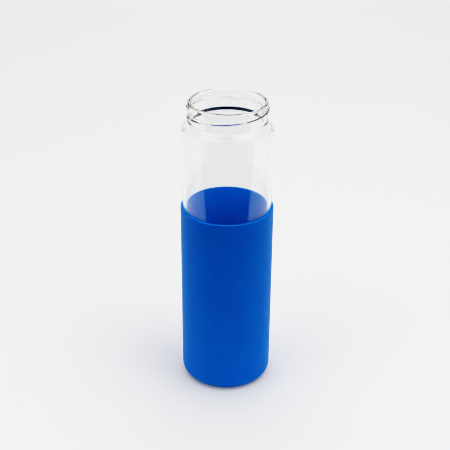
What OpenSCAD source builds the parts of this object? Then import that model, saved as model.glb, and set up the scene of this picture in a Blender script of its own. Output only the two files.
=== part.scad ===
// Wide-mouth glass water bottle standing in a close-fitting silicone sleeve.
// Millimetres, +Z up, origin on the axis at the plane the sleeve stands on.
// The bottle is one piece of glass: base, wall, shoulder, threaded neck and lip.
// The sleeve is one piece of moulded silicone: wall, floor and foot ring.

/* [Bottle] */
// Outside diameter of the glass body
glass_d = 66.9; // [64:0.1:70]
// Wall thickness of the body and shoulder
glass_wall = 2.55; // [2:0.05:3]
// Height of the lip above the surface that the sleeve stands on
total_h = 229.3; // [200:0.1:260]
// Thickness of the glass floor at its edge
base_t = 5.95; // [5:0.05:8]
// Outside radius of the heel between base and wall
heel_r = 5.95; // [5:0.05:7]
// Rise of the domed inside floor at the centre
dome_h = 2.2; // [1.5:0.1:3]
// Depth of the hollow under the glass base
punt_h = 1.8; // [1:0.1:2.5]

/* [Neck and mouth] */
// Clear diameter of the mouth
mouth_d = 52.8; // [50:0.1:54]
// Outside diameter of the neck between the threads
neck_d = 58; // [57.6:0.1:58.2]
// Outside diameter of the rounded lip
lip_d = 58.2; // [58.2:0.1:59]
// Length of the straight neck below the top of the lip
neck_h = 13.8; // [12:0.1:15]
// Outside radius of the shoulder
shoulder_r = 6.2; // [5.8:0.1:6.6]
// Radius of the inside curve where the neck opens into the body
throat_r = 3; // [2.5:0.1:3.4]

/* [Thread] */
// Outside diameter over the threads
thread_d = 60.4; // [59.6:0.1:60.6]
// Number of thread starts
thread_starts = 2; // [1:1:2]
// Rise of one thread in a full turn
thread_lead = 11.5; // [10:0.5:14]
// Angle that each thread covers, with its run-outs
thread_sweep = 198; // [150:2:200]
// Height of the thread's section, from its lower edge to the top of its shallow step
thread_w = 3.75; // [3.2:0.05:3.8]
// Distance from the top of the lip down to the lower edge of a thread at its start
thread_drop = 5.45; // [5.3:0.05:5.6]

/* [Sleeve] */
// Outside diameter of the sleeve
sleeve_d = 70; // [69.6:0.1:73]
// Height of the sleeve
sleeve_h = 146.8; // [90:0.1:170]
// Thickness of the sleeve's floor
sleeve_floor = 2; // [1.8:0.1:2.5]
// Outside radius of the sleeve's bottom corner
sleeve_corner = 7.5; // [5:0.1:7.5]
// Radius of the sleeve's top outer edge
sleeve_edge = 0.55; // [0.3:0.05:0.6]
// Depth of the recess and grooves in the foot
foot_relief = 0.7; // [0.4:0.1:0.9]

/* [Fit] */
// Radial and axial gap between glass and sleeve
gap = 0.05; // [0.02:0.01:0.1]

/* [Hidden] */
$fn = 96;

glass_r = glass_d/2;
bore_r = glass_r - glass_wall;
neck_r = neck_d/2;
mouth_r = mouth_d/2;
lip_r = lip_d/2;
crest_r = thread_d/2;
glass_z0 = sleeve_floor + gap;
floor_z = glass_z0 + base_t;

// Shoulder: an outer arc tangent to the body, and a small fillet up to the neck.
fillet_r = 1.2;
so_x = glass_r - shoulder_r;                  // centre of the outer shoulder arc
nf_x = neck_r + fillet_r;                     // centre of the neck fillet
neck_end = total_h - neck_h;                  // where the straight neck stops
so_z = neck_end - sqrt(pow(shoulder_r + fillet_r, 2) - pow(nf_x - so_x, 2));
nf_t = shoulder_r/(shoulder_r + fillet_r);    // share of the way to the tangent point
nt_x = so_x + (nf_x - so_x)*nf_t;
nt_z = so_z + (neck_end - so_z)*nf_t;

// Throat: a convex inside curve below the mouth, then the inside of the shoulder.
throat_z = neck_end - 0.7;
th_x = mouth_r + throat_r;
si_r = shoulder_r - glass_wall;               // inside radius of the shoulder
si_x = bore_r - si_r;
si_z = throat_z - sqrt(pow(throat_r + si_r, 2) - pow(th_x - si_x, 2));
tt = si_r/(si_r + throat_r);
tt_x = si_x + (th_x - si_x)*tt;
tt_z = si_z + (throat_z - si_z)*tt;

heel_in = 7;                                  // inside radius between floor and wall
dome_at = 20;                                 // radius at which the dome starts
punt_at = 21;                                 // radius at which the hollow starts
dome_R = (dome_at*dome_at + dome_h*dome_h)/(2*dome_h);
punt_R = (punt_at*punt_at + punt_h*punt_h)/(2*punt_h);

lip_o = 1.15;                                 // outer edge radius of the lip
lip_i = 1.0;                                  // inner edge radius of the lip
taper_h = 4.5;                                // the neck swells into the lip over this height

slv_r = sleeve_d/2;
slv_in = glass_r + gap;
slv_heel = heel_r + gap;

// Half section, filled to the axis, of everything inside the outer surface.
module glass_outside_2d() {
    // heel and body
    translate([0, glass_z0]) square([glass_r - heel_r, heel_r + 1]);
    translate([glass_r - heel_r, glass_z0 + heel_r]) circle(r = heel_r);
    translate([0, glass_z0 + heel_r]) square([glass_r, so_z - glass_z0 - heel_r]);
    // shoulder and neck
    translate([so_x, so_z]) circle(r = shoulder_r);
    translate([0, so_z - 1]) square([so_x + 0.01, shoulder_r*0.9 + 1]);
    translate([0, so_z]) square([neck_r, total_h - lip_o - taper_h - so_z]);
    difference() {
        polygon([[neck_r - 0.5, nt_z - 1], [nt_x, nt_z], [nf_x, neck_end],
                 [neck_r, neck_end], [neck_r - 0.5, neck_end]]);
        translate([nf_x, neck_end]) circle(r = fillet_r);
    }
    // the neck swells a little into the lip, whose outer edge is round
    polygon([[0, total_h - lip_o - taper_h], [neck_r, total_h - lip_o - taper_h],
             [lip_r, total_h - lip_o], [0, total_h - lip_o]]);
    translate([0, total_h - lip_o - 0.01]) square([lip_r - lip_o, lip_o + 0.01]);
    translate([lip_r - lip_o, total_h - lip_o]) circle(r = lip_o);
}

// Half section of the space inside the bottle.
module glass_inside_2d() {
    // mouth, with a rounded inner edge to the lip
    translate([0, throat_z]) square([mouth_r, total_h + 5 - throat_z]);
    difference() {
        translate([mouth_r - 0.5, total_h - lip_i]) square([lip_i + 0.5, lip_i + 5]);
        translate([mouth_r + lip_i, total_h - lip_i]) circle(r = lip_i);
    }
    // throat
    difference() {
        polygon([[0, throat_z + 0.01], [th_x, throat_z + 0.01], [th_x, throat_z],
                 [tt_x, tt_z], [si_x, si_z], [0, si_z]]);
        translate([th_x, throat_z]) circle(r = throat_r);
    }
    // shoulder, body and floor
    translate([si_x, si_z]) circle(r = si_r);
    translate([0, floor_z + heel_in]) square([bore_r, si_z - floor_z - heel_in]);
    difference() {
        union() {
            translate([bore_r - heel_in, floor_z + heel_in]) circle(r = heel_in);
            translate([0, floor_z]) square([bore_r - heel_in, heel_in + 0.01]);
        }
        translate([0, floor_z + dome_h - dome_R]) circle(r = dome_R, $fn = 360);
    }
}

module glass_body() {
    rotate_extrude($fn = 128)
        intersection() {
            square([glass_r + 5, total_h + 5]);
            difference() {
                glass_outside_2d();
                glass_inside_2d();
                translate([0, glass_z0 + punt_h - punt_R]) circle(r = punt_R, $fn = 360);
            }
        }
}

// One thread: a rib with a sloping lower side and a flat ledge on top, swept down a
// helix. A shallow step stands above the ledge. Both ends sink into the neck.
steps = 50;
// Its section, from the lower edge up: share of its height, share of its depth.
rib_shape = [[0, -0.05], [0.053, 0.08], [0.24, 0.75], [0.306, 0.96], [0.373, 1],
             [0.507, 0.2], [0.88, 0.2], [1, -0.05]];
function ease(t) = t*t*(3 - 2*t);
function share(s) = ease(min(1, s*thread_sweep/22, (1 - s)*thread_sweep/22));
function rib(f) = concat(
    [[neck_r - 1.1, 0]],
    [for (p = rib_shape) [neck_r + p[1]*(crest_r - neck_r)*f - 0.3*(1 - f), p[0]*thread_w]],
    [[neck_r - 1.1, thread_w]]);
module thread(start) {
    low = total_h - thread_drop;
    pts = [for (i = [0:steps])
        let (s = i/steps, a = start - s*thread_sweep, z = low - s*thread_sweep/360*thread_lead)
        for (p = rib(share(s))) [p[0]*cos(a), p[0]*sin(a), z + p[1]]];
    n = len(rib_shape) + 2;
    faces = concat(
        [[for (j = [0:n - 1]) j]],
        [for (i = [0:steps - 1], j = [0:n - 1]) let (k = (j + 1) % n)
            each [[i*n + j, (i + 1)*n + j, (i + 1)*n + k], [i*n + j, (i + 1)*n + k, i*n + k]]],
        [[for (j = [n - 1:-1:0]) steps*n + j]]);
    polyhedron(points = pts, faces = faces, convexity = 6);
}

module glass_bottle() {
    color([0.86, 0.93, 0.94, 0.45])
    union() {
        glass_body();
        for (k = [0:thread_starts - 1]) thread(14 + k*360/thread_starts);
    }
}

module silicone_sleeve() {
    color([0.0, 0.27, 0.68])
    rotate_extrude($fn = 128)
        difference() {
            union() {
                square([slv_r - sleeve_corner, sleeve_corner + 1]);
                translate([slv_r - sleeve_corner, sleeve_corner])
                    intersection() { circle(r = sleeve_corner); translate([-sleeve_corner*0.99, -sleeve_corner]) square(2*sleeve_corner); }
                translate([0, sleeve_corner]) square([slv_r, sleeve_h - sleeve_corner - sleeve_edge]);
                translate([0, sleeve_h - sleeve_edge - 0.01]) square([slv_r - sleeve_edge, sleeve_edge + 0.01]);
                translate([slv_r - sleeve_edge, sleeve_h - sleeve_edge]) circle(r = sleeve_edge);
            }
            // space for the bottle
            translate([0, sleeve_floor]) square([slv_in - slv_heel, slv_heel + 1]);
            intersection() {
                translate([slv_in - slv_heel, sleeve_floor + slv_heel]) circle(r = slv_heel);
                translate([0.1, 0]) square([slv_in + 1, sleeve_floor + 3*slv_heel]);
            }
            translate([0, sleeve_floor + slv_heel]) square([slv_in, sleeve_h]);
            // recess and grooves in the foot
            translate([0, -1]) square([17.5, 1 + foot_relief]);
            for (g = [19.6, 22.2, 24.8]) translate([g, -1]) square([0.9, 1 + foot_relief*0.7]);
        }
}

silicone_sleeve();
glass_bottle();
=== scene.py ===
import math

import bpy
import bmesh
from mathutils import Matrix, Vector


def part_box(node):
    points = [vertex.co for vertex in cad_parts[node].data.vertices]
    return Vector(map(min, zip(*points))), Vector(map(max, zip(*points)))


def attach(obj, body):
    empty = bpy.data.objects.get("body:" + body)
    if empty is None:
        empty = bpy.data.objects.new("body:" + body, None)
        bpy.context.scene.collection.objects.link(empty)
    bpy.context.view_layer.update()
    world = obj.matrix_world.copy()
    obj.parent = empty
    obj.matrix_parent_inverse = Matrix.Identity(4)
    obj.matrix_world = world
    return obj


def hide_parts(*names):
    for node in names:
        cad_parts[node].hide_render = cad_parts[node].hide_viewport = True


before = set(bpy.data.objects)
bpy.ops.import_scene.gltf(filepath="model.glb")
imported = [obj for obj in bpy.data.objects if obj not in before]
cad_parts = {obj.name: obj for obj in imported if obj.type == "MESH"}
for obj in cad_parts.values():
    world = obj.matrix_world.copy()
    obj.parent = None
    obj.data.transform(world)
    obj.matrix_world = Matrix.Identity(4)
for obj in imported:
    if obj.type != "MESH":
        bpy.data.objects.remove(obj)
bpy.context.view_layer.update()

MM = 0.001

# ---------------------------------------------------------------- sizes (mm)
# The frame gives the boxes; the radii between them repeat the CAD's.
sleeve_lo, sleeve_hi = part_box("silicone_sleeve")
glass_lo, glass_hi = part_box("glass_bottle")
SLEEVE_R = (sleeve_hi.x - sleeve_lo.x) / 2 / MM
SLEEVE_H = sleeve_hi.z / MM
GLASS_R = (glass_hi.x - glass_lo.x) / 2 / MM
TOTAL_H = glass_hi.z / MM
GLASS_Z0 = glass_lo.z / MM

WALL = 2.55
NECK_R = 29.0
MOUTH_R = 26.4
LIP_R = 29.1
NECK_H = 13.8
SHOULDER_R = 6.2
THROAT_R = 3.0
FILLET_R = 1.2
HEEL_R = 5.95
BASE_T = 5.95
DOME_H = 2.2
PUNT_H = 1.8
LIP_O = 1.15
LIP_I = 1.0
THREAD_LEAD = 11.5
THREAD_SWEEP = 190.0
THREAD_DROP = 5.45        # from the top of the glass to the thread's lower edge, at its start
THREAD_W = 3.75           # height of its section
# that section, as (height over its lower edge, how far it stands out of the neck)
RIB = ((0.0, 0.0), (0.2, 0.1), (0.9, 0.9), (1.15, 1.15), (1.4, 1.2), (1.9, 0.25), (3.3, 0.25), (3.75, 0.0))
THREAD_START = 10.0
TAPER = 4.5               # the neck swells into the lip over this height
NECK_ROWS = 150

SLEEVE_FLOOR = 2.0
SLEEVE_CORNER = 7.5
SLEEVE_EDGE = 0.55
GAP = 0.05


# ---------------------------------------------------------------- profiles
def arc(cx, cz, r, a0, a1, n):
    """Points on an arc from angle a0 to a1 (degrees), both ends included."""
    out = []
    for i in range(n + 1):
        a = math.radians(a0 + (a1 - a0) * i / n)
        out.append((cx + r * math.cos(a), cz + r * math.sin(a)))
    return out


def line(p, q, n):
    """n points from p to q, with both ends left out."""
    return [(p[0] + (q[0] - p[0]) * i / (n + 1), p[1] + (q[1] - p[1]) * i / (n + 1)) for i in range(1, n + 1)]


def tidy(points, eps=1e-5):
    out = []
    for p in points:
        if not out or math.hypot(p[0] - out[-1][0], p[1] - out[-1][1]) > eps:
            out.append(p)
    return out


def lathe(name, profile, seg, columns=None):
    """A closed mesh turned from a profile that runs from the axis back to the axis.
    profile: (r, z) in mm, first and last with r = 0. An entry ("column", i) takes row i of each column."""
    bm = bmesh.new()
    first = bm.verts.new((0, 0, profile[0][1] * MM))
    last = bm.verts.new((0, 0, profile[-1][1] * MM))
    rings = []
    for (r, z) in profile[1:-1]:
        ring = []
        for k in range(seg):
            phi = 2 * math.pi * k / seg
            rr, zz = columns[k][z] if r == "column" else (r, z)
            ring.append(bm.verts.new((rr * math.cos(phi) * MM, rr * math.sin(phi) * MM, zz * MM)))
        rings.append(ring)
    for k in range(seg):
        n = (k + 1) % seg
        bm.faces.new((first, rings[0][n], rings[0][k]))
        bm.faces.new((last, rings[-1][k], rings[-1][n]))
    for a, b in zip(rings, rings[1:]):
        for k in range(seg):
            n = (k + 1) % seg
            bm.faces.new((a[k], a[n], b[n], b[k]))
    bmesh.ops.recalc_face_normals(bm, faces=bm.faces)
    me = bpy.data.meshes.new(name)
    bm.to_mesh(me)
    bm.free()
    for p in me.polygons:
        p.use_smooth = True
    ob = bpy.data.objects.new(name, me)
    bpy.context.scene.collection.objects.link(ob)
    return ob


# ---------------------------------------------------------------- glass
def glass_profile():
    r_in = GLASS_R - WALL
    neck_end = TOTAL_H - NECK_H
    so_x = GLASS_R - SHOULDER_R
    nf_x = NECK_R + FILLET_R
    so_z = neck_end - math.sqrt((SHOULDER_R + FILLET_R) ** 2 - (nf_x - so_x) ** 2)
    ang = math.degrees(math.atan2(neck_end - so_z, nf_x - so_x))
    throat_z = neck_end - 0.7
    th_x = MOUTH_R + THROAT_R
    si_r = SHOULDER_R - WALL
    si_x = r_in - si_r
    si_z = throat_z - math.sqrt((THROAT_R + si_r) ** 2 - (th_x - si_x) ** 2)
    ang_i = math.degrees(math.atan2(throat_z - si_z, th_x - si_x))
    floor_z = GLASS_Z0 + BASE_T

    p = []
    # under the base: the hollow, then the ring it stands on, then the heel
    pr = (21.0 ** 2 + PUNT_H ** 2) / (2 * PUNT_H)
    pa = math.degrees(math.asin(21.0 / pr))
    p += [(x, z) for x, z in arc(0, GLASS_Z0 + PUNT_H - pr, pr, 90, 90 - pa, 20)]
    p += line(p[-1], (GLASS_R - HEEL_R, GLASS_Z0), 4)
    p += arc(GLASS_R - HEEL_R, GLASS_Z0 + HEEL_R, HEEL_R, -90, 0, 16)
    # body
    p += line(p[-1], (GLASS_R, so_z), 40)
    # shoulder and fillet
    p += arc(so_x, so_z, SHOULDER_R, 0, ang, 18)
    p += arc(nf_x, neck_end, FILLET_R, 180 + ang, 180, 8)
    # neck: its rows follow the threads
    below = tidy(p)
    below[0] = (0.0, below[0][1])
    p = arc(LIP_R - LIP_O, TOTAL_H - LIP_O, LIP_O, 0, 90, 12)
    p += line(p[-1], (MOUTH_R + LIP_I, TOTAL_H), 3)
    p += arc(MOUTH_R + LIP_I, TOTAL_H - LIP_I, LIP_I, 90, 180, 10)
    # inside the mouth
    p += line(p[-1], (MOUTH_R, throat_z), 24)
    p += arc(th_x, throat_z, THROAT_R, 180, 180 + ang_i, 14)
    p += arc(si_x, si_z, si_r, ang_i, 0, 12)
    p += line(p[-1], (r_in, floor_z + 7), 40)
    # inside floor
    dr = (20.0 ** 2 + DOME_H ** 2) / (2 * DOME_H)
    da = math.degrees(math.asin(20.0 / dr))
    p += arc(r_in - 7, floor_z + 7, 7, 0, -90, 14)
    p += line(p[-1], (20.0, floor_z), 3)
    p += arc(0, floor_z + DOME_H - dr, dr, 90 - da, 90, 20)
    p = tidy(p)
    p[-1] = (0.0, p[-1][1])
    return below + [("column", i) for i in range(NECK_ROWS)] + p, neck_end


GLASS_PROFILE, NECK_END = glass_profile()


def smooth(t):
    t = max(0.0, min(1.0, t))
    return t * t * (3 - 2 * t)


def thread_centres(phi):
    """(height, share of full size) of each thread rib that crosses the neck at angle phi."""
    out = []
    deg = math.degrees(phi)
    for k in range(2):
        a = (THREAD_START + 180 * k - deg) % 360      # degrees down the helix from its upper end
        if a > 352:
            a -= 360
        if -8 <= a <= THREAD_SWEEP + 8:
            share = smooth((a + 4) / 22) * smooth((THREAD_SWEEP + 4 - a) / 22)
            out.append((TOTAL_H - THREAD_DROP - a / 360 * THREAD_LEAD, share))
    return out


def rib(dz, share):
    """Height of a rib's section, dz mm above its lower edge."""
    total = 0.0
    for off in (-0.06, -0.03, 0.0, 0.03, 0.06):
        u = dz + off
        for (u0, h0), (u1, h1) in zip(RIB, RIB[1:]):
            if u0 <= u <= u1:
                total += h0 + (h1 - h0) * (u - u0) / (u1 - u0)
    return total / 5 * share


def neck_rings():
    """The neck between fillet and lip: base radius by height, and the rows' heights for each column."""
    z0, z1 = NECK_END, TOTAL_H - LIP_O
    bead0 = z1 - TAPER
    rows = NECK_ROWS

    def base(z):
        if z <= bead0:
            return NECK_R
        t = min(1.0, (z - bead0) / TAPER)
        return NECK_R + (LIP_R - NECK_R) * t * t * (3 - 2 * t)

    def column(phi):
        centres = thread_centres(phi)
        fine = 400
        acc = [0.0]
        zs = [z0 + (z1 - z0) * i / fine for i in range(fine + 1)]
        for i in range(fine):
            z = (zs[i] + zs[i + 1]) / 2
            d = 1.0
            for zc, share in centres:
                d += 6.0 * share * math.exp(-(abs(z - zc - THREAD_W / 2) / (THREAD_W / 2 + 0.3)) ** 6)
            acc.append(acc[-1] + d)
        out = []
        j = 0
        for i in range(1, rows + 1):
            goal = acc[-1] * i / (rows + 1)
            while acc[j + 1] < goal:
                j += 1
            z = zs[j] + (zs[j + 1] - zs[j]) * (goal - acc[j]) / (acc[j + 1] - acc[j])
            r = base(z)
            for zc, share in centres:
                if share > 0:
                    r = max(r, base(z) + rib(z - zc, share))
            out.append((r, z))
        return out

    return rows, column


SEG = 480
ROWS, column_at = neck_rings()
COLUMNS = [column_at(2 * math.pi * k / SEG) for k in range(SEG)]


glass = lathe("glass_bottle_clear", GLASS_PROFILE, SEG, COLUMNS)


# ---------------------------------------------------------------- sleeve
def sleeve_profile():
    r = SLEEVE_R
    rin = GLASS_R + GAP
    heel = HEEL_R + GAP
    p = [(0.0, 0.7)]
    p += line((0, 0.7), (17.3, 0.7), 8)
    p += arc(17.15, 0.35, 0.35, 90, 0, 6)
    p += arc(17.8, 0.3, 0.3, 180, 270, 6)
    for g in (19.6, 22.2, 24.8):
        p += arc(g - 0.12, 0.12, 0.12, -90, 0, 4)
        p += arc(g + 0.14, 0.35, 0.14, 180, 90, 4)
        p += arc(g + 0.76, 0.35, 0.14, 90, 0, 4)
        p += arc(g + 1.02, 0.12, 0.12, 180, 270, 4)
    p += arc(r - SLEEVE_CORNER, SLEEVE_CORNER, SLEEVE_CORNER, -90, 0, 28)
    p += line(p[-1], (r, SLEEVE_H - SLEEVE_EDGE), 60)
    p += arc(r - SLEEVE_EDGE, SLEEVE_H - SLEEVE_EDGE, SLEEVE_EDGE, 0, 90, 8)
    p += line(p[-1], (rin + 0.3, SLEEVE_H), 2)
    p += arc(rin + 0.3, SLEEVE_H - 0.3, 0.3, 90, 180, 5)
    p += line(p[-1], (rin, SLEEVE_FLOOR + heel), 50)
    p += arc(rin - heel, SLEEVE_FLOOR + heel, heel, 0, -90, 16)
    p += line(p[-1], (0, SLEEVE_FLOOR), 8)
    p += [(0.0, SLEEVE_FLOOR)]
    p = tidy(p)
    return p


sleeve = lathe("silicone_sleeve_blue", sleeve_profile(), 256)


# ---------------------------------------------------------------- materials
def new_material(name):
    m = bpy.data.materials.new(name)
    m.use_nodes = True
    nt = m.node_tree
    bsdf = nt.nodes.get("Principled BSDF")
    return m, nt, bsdf


def node(nt, kind, **values):
    n = nt.nodes.new(kind)
    for k, v in values.items():
        if k in n.inputs:
            n.inputs[k].default_value = v
        else:
            setattr(n, k, v)
    return n


def ramp(nt, stops):
    n = nt.nodes.new("ShaderNodeValToRGB")
    e = n.color_ramp.elements
    while len(e) < len(stops):
        e.new(0.5)
    for el, (pos, col) in zip(e, stops):
        el.position = pos
        el.color = col if len(col) == 4 else (*col, 1)
    return n


def glass_material():
    m, nt, b = new_material("clear_glass")
    L = nt.links
    b.inputs["Transmission Weight"].default_value = 1.0
    b.inputs["IOR"].default_value = 1.474
    co = node(nt, "ShaderNodeTexCoord")
    # faint tint that drifts over the wall, as pressed glass has
    n1 = node(nt, "ShaderNodeTexNoise", Scale=18.0, Detail=2.0)
    L.new(co.outputs["Object"], n1.inputs["Vector"])
    r1 = ramp(nt, [(0.3, (0.975, 0.982, 0.980)), (0.7, (0.992, 0.995, 0.994))])
    L.new(n1.outputs["Fac"], r1.inputs["Fac"])
    L.new(r1.outputs["Color"], b.inputs["Base Color"])
    # roughness: polished, with the faintest haze of handling
    n2 = node(nt, "ShaderNodeTexNoise", Scale=60.0, Detail=4.0)
    L.new(co.outputs["Object"], n2.inputs["Vector"])
    r2 = ramp(nt, [(0.45, (0.0, 0.0, 0.0)), (0.8, (0.03, 0.03, 0.03))])
    L.new(n2.outputs["Fac"], r2.inputs["Fac"])
    L.new(r2.outputs["Color"], b.inputs["Roughness"])
    return m


def silicone_material():
    m, nt, b = new_material("silicone")
    L = nt.links
    co = node(nt, "ShaderNodeTexCoord")
    n1 = node(nt, "ShaderNodeTexNoise", Scale=35.0, Detail=5.0, Roughness=0.6)
    L.new(co.outputs["Object"], n1.inputs["Vector"])
    r1 = ramp(nt, [(0.25, (0.0, 0.126, 0.56)), (0.75, (0.0, 0.138, 0.60))])
    L.new(n1.outputs["Fac"], r1.inputs["Fac"])
    # the inside wall is painted paler than the outside: painted light, standing in for the light that reaches
    # the inside of the sleeve
    rin = ramp(nt, [(0.25, (0.0, 0.266, 0.84)), (0.75, (0.0, 0.280, 0.88))])
    L.new(n1.outputs["Fac"], rin.inputs["Fac"])
    sep = node(nt, "ShaderNodeSeparateXYZ")
    L.new(co.outputs["Object"], sep.inputs["Vector"])
    flat = node(nt, "ShaderNodeCombineXYZ")
    L.new(sep.outputs["X"], flat.inputs["X"])
    L.new(sep.outputs["Y"], flat.inputs["Y"])
    rad = node(nt, "ShaderNodeVectorMath", operation="LENGTH")
    L.new(flat.outputs["Vector"], rad.inputs[0])
    inner = node(nt, "ShaderNodeMapRange")
    L.new(rad.outputs["Value"], inner.inputs["Value"])
    inner.inputs["From Min"].default_value = (SLEEVE_R - 1.35) * MM
    inner.inputs["From Max"].default_value = (SLEEVE_R - 1.49) * MM
    above = node(nt, "ShaderNodeMath", operation="GREATER_THAN")
    L.new(sep.outputs["Z"], above.inputs[0])
    above.inputs[1].default_value = (SLEEVE_FLOOR - 0.1) * MM
    where = node(nt, "ShaderNodeMath", operation="MULTIPLY")
    L.new(inner.outputs["Result"], where.inputs[0])
    L.new(above.outputs[0], where.inputs[1])
    # painted shade: deep in the sleeve the inside wall is darkened towards the bottom, standing in for the
    # shade that falls there
    deep_shade = node(nt, "ShaderNodeMapRange", interpolation_type="SMOOTHSTEP")
    L.new(sep.outputs["Z"], deep_shade.inputs["Value"])
    deep_shade.inputs["From Min"].default_value = 0.120
    deep_shade.inputs["From Max"].default_value = 0.085
    dark = node(nt, "ShaderNodeMix", data_type="RGBA")
    L.new(deep_shade.outputs["Result"], dark.inputs["Factor"])
    L.new(rin.outputs["Color"], dark.inputs[6])
    # colour of the painted shade deep in the sleeve
    dark.inputs[7].default_value = (0.0, 0.022, 0.13, 1)
    # outer colour on the outside; the inside wall's painted light and painted shade within
    mix = node(nt, "ShaderNodeMix", data_type="RGBA")
    L.new(where.outputs[0], mix.inputs["Factor"])
    L.new(r1.outputs["Color"], mix.inputs[6])
    L.new(dark.outputs[2], mix.inputs[7])
    L.new(mix.outputs[2], b.inputs["Base Color"])
    n2 = node(nt, "ShaderNodeTexNoise", Scale=420.0, Detail=3.0)
    L.new(co.outputs["Object"], n2.inputs["Vector"])
    r2 = ramp(nt, [(0.3, (0.38, 0.38, 0.38)), (0.7, (0.48, 0.48, 0.48))])
    L.new(n2.outputs["Fac"], r2.inputs["Fac"])
    L.new(r2.outputs["Color"], b.inputs["Roughness"])
    n3 = node(nt, "ShaderNodeTexNoise", Scale=2600.0, Detail=2.0)
    L.new(co.outputs["Object"], n3.inputs["Vector"])
    bp = node(nt, "ShaderNodeBump", Strength=0.12, Distance=0.0002)
    L.new(n3.outputs["Fac"], bp.inputs["Height"])
    L.new(bp.outputs["Normal"], b.inputs["Normal"])
    b.inputs["IOR"].default_value = 1.42
    b.inputs["Specular IOR Level"].default_value = 0.07
    b.inputs["Subsurface Weight"].default_value = 1.0
    b.inputs["Subsurface Radius"].default_value = (0.3, 0.5, 0.8)
    b.inputs["Subsurface Scale"].default_value = 0.001
    return m


FLOOR_EDGE_Y = -0.19      # where the pale floor ends for bounced light (m)
WALLS = 0.34              # radiance of the surroundings
BEHIND = 0.90             # of the paper that sweeps up behind
TOP = 0.25                # share of that left high up, between the lamps
FRONT = 0.06              # and of the patch in front
FRONT_EL = 15.0           # its middle, above the horizon (degrees)
FRONT_IN = 22.0           # dark within this angle of its middle
FRONT_OUT = 42.0          # and pale outside this one


def floor_material():
    m, nt, b = new_material("floor_paper")
    L = nt.links
    co = node(nt, "ShaderNodeTexCoord")
    n1 = node(nt, "ShaderNodeTexNoise", Scale=3.0, Detail=2.0)
    L.new(co.outputs["Object"], n1.inputs["Vector"])
    r1 = ramp(nt, [(0.3, (0.868, 0.868, 0.868)), (0.7, (0.882, 0.882, 0.882))])
    L.new(n1.outputs["Fac"], r1.inputs["Fac"])
    # Painted shade: just in front of the object the floor is dark for bounced light only, which darkens what
    # the glass reflects and the light thrown back onto the object, so the floor itself still looks plain from
    # every side.
    geo = node(nt, "ShaderNodeNewGeometry")
    sep = node(nt, "ShaderNodeSeparateXYZ")
    L.new(geo.outputs["Position"], sep.inputs["Vector"])
    past = node(nt, "ShaderNodeMath", operation="LESS_THAN")
    L.new(sep.outputs["Y"], past.inputs[0])
    past.inputs[1].default_value = FLOOR_EDGE_Y
    lp = node(nt, "ShaderNodeLightPath")
    both = node(nt, "ShaderNodeMath", operation="ADD")
    L.new(lp.outputs["Glossy Depth"], both.inputs[0])
    L.new(lp.outputs["Diffuse Depth"], both.inputs[1])
    bounced = node(nt, "ShaderNodeMath", operation="GREATER_THAN")
    L.new(both.outputs[0], bounced.inputs[0])
    bounced.inputs[1].default_value = 0.5
    use = node(nt, "ShaderNodeMath", operation="MULTIPLY")
    L.new(past.outputs[0], use.inputs[0])
    L.new(bounced.outputs[0], use.inputs[1])
    mix = node(nt, "ShaderNodeMix", data_type="RGBA")
    L.new(use.outputs[0], mix.inputs["Factor"])
    L.new(r1.outputs["Color"], mix.inputs[6])
    # colour of the painted shade that bounced light meets past the edge
    mix.inputs[7].default_value = (0.02, 0.02, 0.022, 1)
    L.new(mix.outputs[2], b.inputs["Base Color"])
    b.inputs["Roughness"].default_value = 0.8
    b.inputs["Specular IOR Level"].default_value = 0.0
    return m


glass.data.materials.append(glass_material())
sleeve.data.materials.append(silicone_material())

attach(glass, "bottle")
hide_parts("glass_bottle")
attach(sleeve, "sleeve")
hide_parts("silicone_sleeve")


# ---------------------------------------------------------------- stage
me = bpy.data.meshes.new("floor")
me.from_pydata([(-6, -6, 0), (6, -6, 0), (6, 6, 0), (-6, 6, 0)], [], [(0, 1, 2, 3)])
floor = bpy.data.objects.new("floor", me)
bpy.context.scene.collection.objects.link(floor)
floor.data.materials.append(floor_material())

# Pale walls all round, and a darker patch straight in front, where a photographer stands.
world = bpy.data.worlds.new("studio")
bpy.context.scene.world = world
world.use_nodes = True
wnt = world.node_tree
bg = wnt.nodes["Background"]
wco = node(wnt, "ShaderNodeTexCoord")
wdot = node(wnt, "ShaderNodeVectorMath", operation="DOT_PRODUCT")
wnt.links.new(wco.outputs["Generated"], wdot.inputs[0])
el = math.radians(FRONT_EL)
wdot.inputs[1].default_value = (0.0, -math.cos(el), math.sin(el))
wmap = node(wnt, "ShaderNodeMapRange", interpolation_type="SMOOTHSTEP")
wnt.links.new(wdot.outputs["Value"], wmap.inputs["Value"])
wmap.inputs["From Min"].default_value = math.cos(math.radians(FRONT_OUT))
wmap.inputs["From Max"].default_value = math.cos(math.radians(FRONT_IN))
wmap.inputs["To Min"].default_value = WALLS
wmap.inputs["To Max"].default_value = FRONT
wback = node(wnt, "ShaderNodeVectorMath", operation="DOT_PRODUCT")
wnt.links.new(wco.outputs["Generated"], wback.inputs[0])
wback.inputs[1].default_value = (0.0, 1.0, 0.0)
bmap = node(wnt, "ShaderNodeMapRange", interpolation_type="SMOOTHSTEP")
wnt.links.new(wback.outputs["Value"], bmap.inputs["Value"])
bmap.inputs["From Min"].default_value = 0.25
bmap.inputs["From Max"].default_value = 0.75
bmap.inputs["To Min"].default_value = 0.0
bmap.inputs["To Max"].default_value = BEHIND - WALLS
wadd = node(wnt, "ShaderNodeMath", operation="ADD")
wnt.links.new(wmap.outputs["Result"], wadd.inputs[0])
wnt.links.new(bmap.outputs["Result"], wadd.inputs[1])
wsep = node(wnt, "ShaderNodeSeparateXYZ")
wnt.links.new(wco.outputs["Generated"], wsep.inputs["Vector"])
wtop = node(wnt, "ShaderNodeMapRange", interpolation_type="SMOOTHSTEP")
wnt.links.new(wsep.outputs["Z"], wtop.inputs["Value"])
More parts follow.
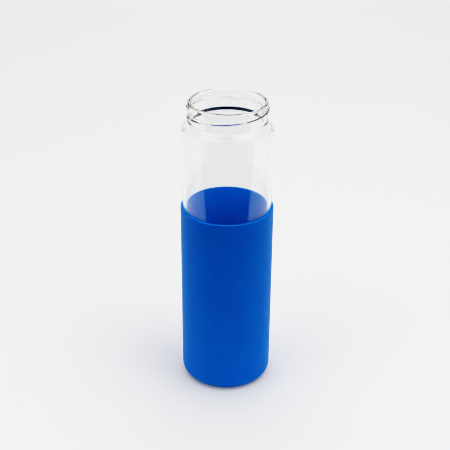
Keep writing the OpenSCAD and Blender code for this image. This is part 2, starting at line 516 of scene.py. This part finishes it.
wtop.inputs["From Min"].default_value = 0.35
wtop.inputs["From Max"].default_value = 0.75
wtop.inputs["To Min"].default_value = 1.0
wtop.inputs["To Max"].default_value = TOP
wmul = node(wnt, "ShaderNodeMath", operation="MULTIPLY")
wnt.links.new(wadd.outputs[0], wmul.inputs[0])
wnt.links.new(wtop.outputs["Result"], wmul.inputs[1])
wnt.links.new(wmul.outputs[0], bg.inputs["Strength"])
bg.inputs["Color"].default_value = (1.0, 1.0, 1.0, 1)


def area(name, loc, target, size, power, color=(1, 1, 1), size_y=None, spread=180):
    d = bpy.data.lights.new(name, "AREA")
    d.shape = "RECTANGLE" if size_y else "SQUARE"
    d.size = size
    if size_y:
        d.size_y = size_y
    d.energy = power
    d.color = color
    d.spread = math.radians(spread)
    o = bpy.data.objects.new(name, d)
    o.location = loc
    v = Vector(target) - Vector(loc)
    o.rotation_euler = v.to_track_quat("-Z", "Y").to_euler()
    bpy.context.scene.collection.objects.link(o)
    return o


area("softbox_left", (-0.70, -0.72, 0.75), (0, 0, 0.20), 1.15, 4.1, size_y=1.05)
area("softbox_right", (0.70, -0.72, 0.75), (0, 0, 0.20), 1.15, 4.7, size_y=1.05)
area("high_left", (-0.55, -0.05, 1.30), (0, 0, 0.05), 0.8, 4.5, size_y=0.8)
area("high_right", (0.55, -0.05, 1.30), (0, 0, 0.05), 0.8, 6.8, size_y=0.8)
area("overhead", (0, 2.4, 2.3), (0, 2.3, 0.0), 3.2, 41, spread=125)

# ---------------------------------------------------------------- camera
cam_data = bpy.data.cameras.new("camera")
cam_data.sensor_width = 36.0
cam_data.sensor_fit = "HORIZONTAL"
cam_data.lens = 76.28
cam_data.clip_start = 0.01
cam_data.clip_end = 50
cam = bpy.data.objects.new("camera", cam_data)
bpy.context.scene.collection.objects.link(cam)
pitch, yaw, roll = math.radians(27.2810), math.radians(-0.1278), math.radians(0.3966)
fwd = Vector((math.cos(pitch) * math.sin(yaw), math.cos(pitch) * math.cos(yaw), -math.sin(pitch)))
right = Vector((math.cos(yaw), -math.sin(yaw), 0))
up = right.cross(fwd)
r2 = right * math.cos(roll) + up * math.sin(roll)
u2 = up * math.cos(roll) - right * math.sin(roll)
m = Matrix((r2, u2, -fwd)).transposed().to_4x4()
m.translation = Vector((0, -0.64558, 0.46263))
cam.matrix_world = m
bpy.context.scene.camera = cam

cy = bpy.context.scene.cycles
cy.max_bounces = 32
cy.transmission_bounces = 32
cy.glossy_bounces = 12
cy.blur_glossy = 0.0
cy.filter_width = 1.0

vs = bpy.context.scene.view_settings
vs.view_transform = "Standard"
vs.look = "None"
vs.exposure = 0.0
vs.gamma = 1.0
# a photograph's tone curve: a soft shoulder and slightly deeper darks
vs.use_curve_mapping = True
cmap = vs.curve_mapping
WHITE = 1.5
cmap.white_level = (WHITE, WHITE, WHITE)
cmap.extend = "HORIZONTAL"
curve = cmap.curves[3]
POINTS = ((0.0, 0.0), (0.03, 0.026), (0.12, 0.118), (0.45, 0.47), (0.80, 0.748), (0.95, 0.845), (1.2, 0.93), (1.5, 0.98))
while len(curve.points) < len(POINTS):
    curve.points.new(1.0, 1.0)
for pt, (px, py) in zip(curve.points, POINTS):
    pt.location = (px / WHITE, py)
# the camera's red, and a little of its green, falls away in the deepest colours
DEEP = (((0.0, 0.0), (0.03, 0.012), (0.10, 0.085), (0.25, 0.246), (0.50, 0.50), (0.80, 0.80), (1.0, 1.0)),
        ((0.0, 0.0), (0.03, 0.020), (0.10, 0.090), (0.25, 0.247), (0.50, 0.50), (0.80, 0.80), (1.0, 1.0)),
        ((0.0, 0.0), (0.03, 0.042), (0.10, 0.112), (0.25, 0.255), (0.50, 0.50), (0.80, 0.80), (1.0, 1.0)))
for channel, points in zip(cmap.curves, DEEP):
    while len(channel.points) < len(points):
        channel.points.new(1.0, 1.0)
    for pt, (px, py) in zip(channel.points, points):
        pt.location = (px, py)
cmap.update()
